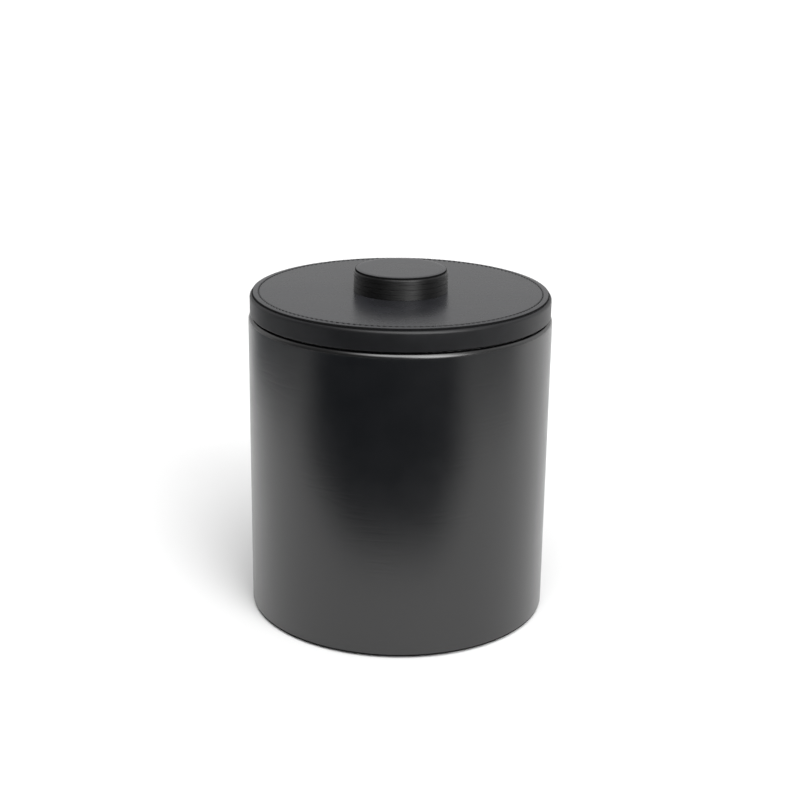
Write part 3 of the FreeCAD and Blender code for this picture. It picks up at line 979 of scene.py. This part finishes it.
def floor_material():
    made = Shader("studio_floor", (FLOOR_TONE,) * 3, 0.85)
    here = made.place()
    tone = made.noise(here, 400, detail=2)
    made.colour(made.blend_colour(tone, (FLOOR_TONE - 0.01,) * 3, (FLOOR_TONE + 0.01,) * 3))
    return made.material


def plane(name, width, depth, middle):
    x, y, z = middle
    corners = [(x - width / 2, y - depth / 2, z), (x + width / 2, y - depth / 2, z),
               (x + width / 2, y + depth / 2, z), (x - width / 2, y + depth / 2, z)]
    mesh = bpy.data.meshes.new(name)
    mesh.from_pydata(corners, [], [(0, 1, 2, 3)])
    return link(name, mesh)


def studio_floor():
    floor = plane("studio_floor", FLOOR_SIZE, FLOOR_SIZE, (0, 0, -FLOOR_DROP))
    floor.data.materials.append(floor_material())


def fade(value, start, stop):
    """0 at start, 1 at stop, smooth between."""
    share = min(max((value - start) / (stop - start), 0), 1)
    return share * share * (3 - 2 * share)


def flag_tone(azimuth, distance):
    """Colour of the front card: dark in the middle, the floor's tone where it meets the floor.

    Azimuth 0 is straight in front of the bucket, and positive to its right. The card's dark part
    spreads to both sides with the distance, and is slightly blue.
    """
    spread = fade(distance, 0.20, 0.50)
    left, right = -26 - 44 * spread, 22 + 26 * spread
    sides = fade(azimuth, left - 18, left + 18) * fade(azimuth, right + 15, right - 15)
    near = fade(distance, 0.222, 0.335) * sides
    far = fade(distance, 0.42, 0.72) * fade(azimuth, -150, -120) * fade(azimuth, 105, 80)
    far_tone = 0.65 + 0.17 * fade(azimuth, -60, -95)
    dark = max(near, far * far_tone)
    grey = FLOOR_TONE * (1 - CARD_DEPTH * dark)
    return [grey, grey + CARD_GREEN * dark, grey + CARD_BLUE * dark, 1]


def front_flag():
    """Soft-edged dark card lying around the front of the bucket, seen only in reflections."""
    azimuths, rings = range(-160, 121, 4), 36
    distances = [0.225 * 15 ** (i / rings) for i in range(rings + 1)]
    corners, tones = [], []
    for azimuth in azimuths:
        turn = math.radians(azimuth)
        for distance in distances:
            corners.append((distance * math.sin(turn), -distance * math.cos(turn), CARD_HEIGHT))
            tones += flag_tone(azimuth, distance)
    row = rings + 1
    faces = [(i * row + j, i * row + j + 1, (i + 1) * row + j + 1, (i + 1) * row + j)
             for i in range(len(azimuths) - 1) for j in range(rings)]
    mesh = bpy.data.meshes.new("front_flag")
    mesh.from_pydata(corners, [], faces)
    mesh.color_attributes.new("tone", "FLOAT_COLOR", "POINT").data.foreach_set("color", tones)
    flag = link("front_flag", mesh)
    made = Shader("flag_card", (0.1, 0.1, 0.1), 1.0)
    made.colour(made.node("Attribute", attribute_name="tone").outputs["Color"])
    flag.data.materials.append(made.material)
    flag.visible_camera = False
    flag.visible_diffuse = False
    flag.visible_shadow = False


def world_light():
    """White room: bright behind and to the right, with soft lamps high and low in front."""
    world = bpy.data.worlds.new("studio")
    bpy.context.scene.world = world
    world.use_nodes = True
    tree = world.node_tree
    nodes, wires = tree.nodes, tree.links
    background = nodes["Background"]
    background.inputs["Color"].default_value = (1, 1, 1, 1)
    where = nodes.new("ShaderNodeTexCoord")

    def lobe(azimuth, elevation, inner, outer, amount):
        """amount within the inner angle of a direction, falling to 0 at the outer angle."""
        a, e = math.radians(azimuth), math.radians(elevation)
        dot = nodes.new("ShaderNodeVectorMath")
        dot.operation = "DOT_PRODUCT"
        dot.inputs[1].default_value = (math.sin(a) * math.cos(e), math.cos(a) * math.cos(e), math.sin(e))
        wires.new(where.outputs["Generated"], dot.inputs[0])
        edge = nodes.new("ShaderNodeMapRange")
        edge.interpolation_type = "SMOOTHSTEP"
        edge.inputs["From Min"].default_value = math.cos(math.radians(outer))
        edge.inputs["From Max"].default_value = math.cos(math.radians(inner))
        edge.inputs["To Max"].default_value = amount
        wires.new(dot.outputs["Value"], edge.inputs["Value"])
        return edge.outputs["Result"]

    def add(a, b):
        made = nodes.new("ShaderNodeMath")
        made.operation = "ADD"
        for socket, value in zip(made.inputs, (a, b)):
            if isinstance(value, (int, float)):
                socket.default_value = value
            else:
                wires.new(value, socket)
        return made.outputs["Value"]

    total = WORLD_BASE
    for values in WORLD_LOBES:
        total = add(total, lobe(*values))
    seen = nodes.new("ShaderNodeLightPath")
    shown = nodes.new("ShaderNodeMix")
    shown.inputs["B"].default_value = BACKDROP
    wires.new(seen.outputs["Is Camera Ray"], shown.inputs["Factor"])
    wires.new(total, shown.inputs["A"])
    wires.new(shown.outputs["Result"], background.inputs["Strength"])


# azimuth (0 behind the bucket, 90 to its right), elevation, inner and outer angle, strength
WORLD_LOBES = [
    (4, 12, 52, 97, 0.58),
    (90, 15, 25, 70, 0.38),
    (-100, 10, 15, 60, 0.10),
    (173, 61, 12, 34, 5.8),
    (150, 28, 5, 24, 7.4),
]


def studio_camera():
    """Viewpoint a little above the lid, through a short telephoto lens."""
    lens = 68.2
    elevation = math.radians(17.95)
    distance = 1.0188
    roll = math.radians(0.76)
    target = Vector((0.0005, 0, 0.1411))
    data = bpy.data.cameras.new("camera")
    data.lens = lens
    data.clip_start, data.clip_end = 0.05, 50
    camera = bpy.data.objects.new("camera", data)
    back = Vector((0, -math.cos(elevation), math.sin(elevation)))
    camera.location = target + back * distance
    facing = (-back).to_track_quat("-Z", "Y")
    camera.rotation_mode = "QUATERNION"
    camera.rotation_quaternion = facing @ Quaternion((0, 0, 1), roll)
    bpy.context.scene.collection.objects.link(camera)
    bpy.context.scene.camera = camera


# ---- Assembly -------------------------------------------------------------------------------
studio_camera()
body_wrap()
seam_stitches()
lining()
foot()
liner_pot()
liner_jacket()
lid_band()
lid_disc()
lid_stitches()
lid_pan()
gasket()
for layer in range(1, KNOB_LAYERS + 1):
    knob_layer(layer)
knob_cap()
finish_cad_nodes()
studio_floor()
front_flag()
world_light()
bpy.context.scene.view_settings.view_transform = "Standard"
